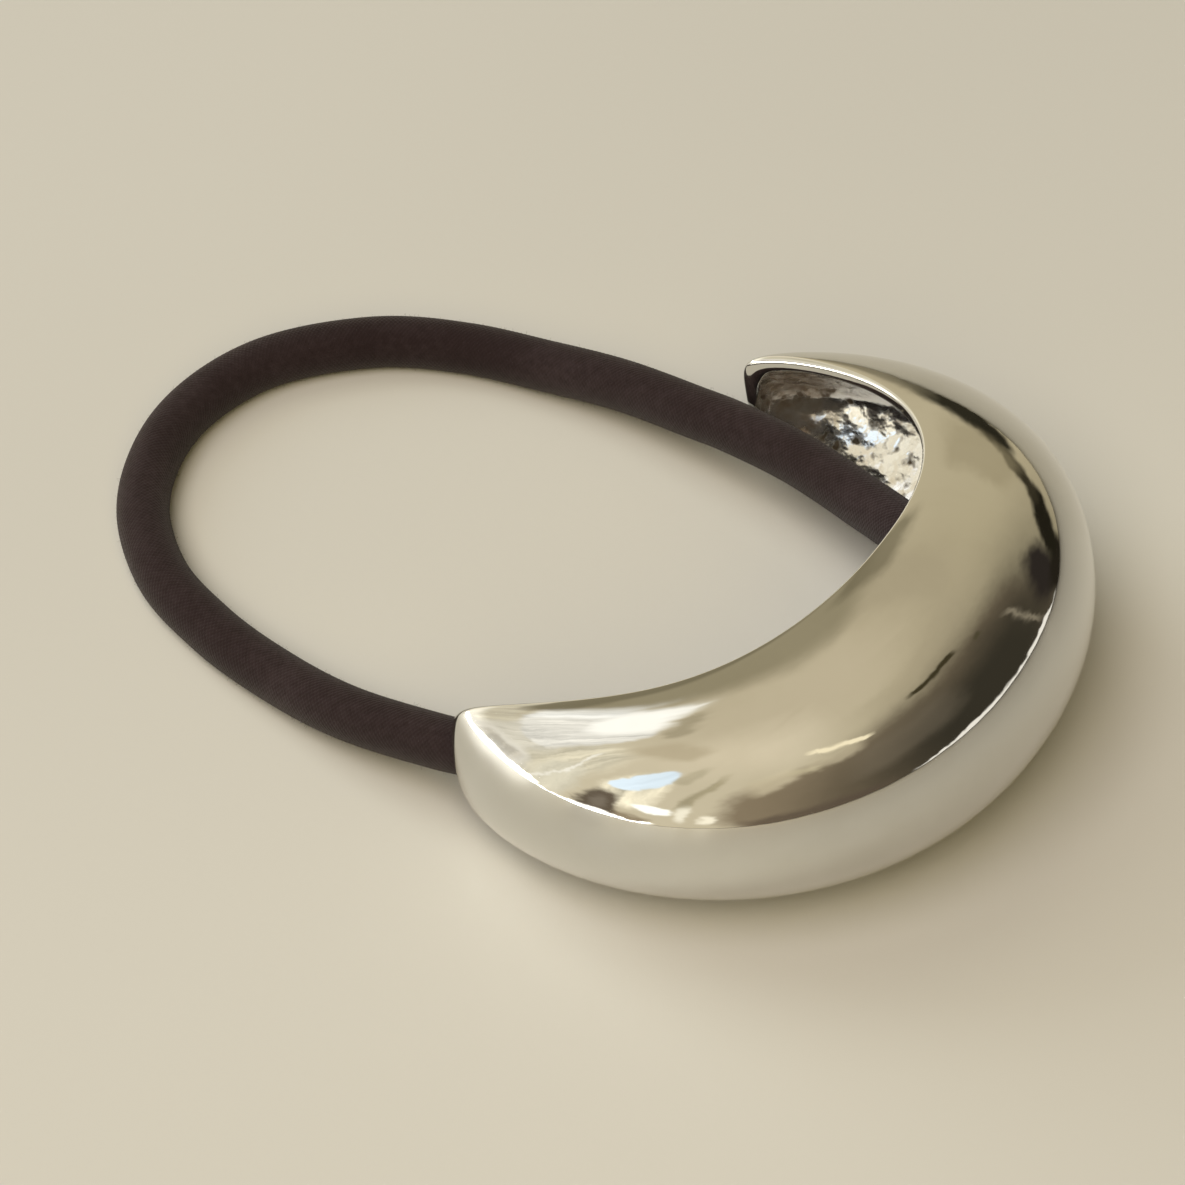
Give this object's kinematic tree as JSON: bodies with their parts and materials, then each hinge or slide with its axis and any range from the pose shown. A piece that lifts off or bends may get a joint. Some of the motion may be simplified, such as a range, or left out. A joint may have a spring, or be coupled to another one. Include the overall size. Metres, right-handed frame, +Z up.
{
  "type": "ponytail cuff",
  "caption": "Polished hollow dome cuff shaped like a crescent, with a keeper bar inside, threaded on a closed loop of round covered elastic that lies flat behind it.",
  "frame": {"origin": "on the table, at the middle of the cuff shell's own bounding box seen from above, with the elastic left out", "axes": "+Z up from the table, +X from the open side between the tips to the middle of the dome, +Y along the cuff's width from tip to tip"},
  "size_m": [0.0856, 0.058, 0.0246],
  "materials": {
    "polished_metal": "mirror polished plating outside, rough as cast inside",
    "covered_elastic": "fine knitted cover, matt and slightly fuzzy"
  },
  "bodies": {
    "root": {"cuff_shell": "polished_metal", "elastic_loop": "covered_elastic"}
  },
  "joints": []
}
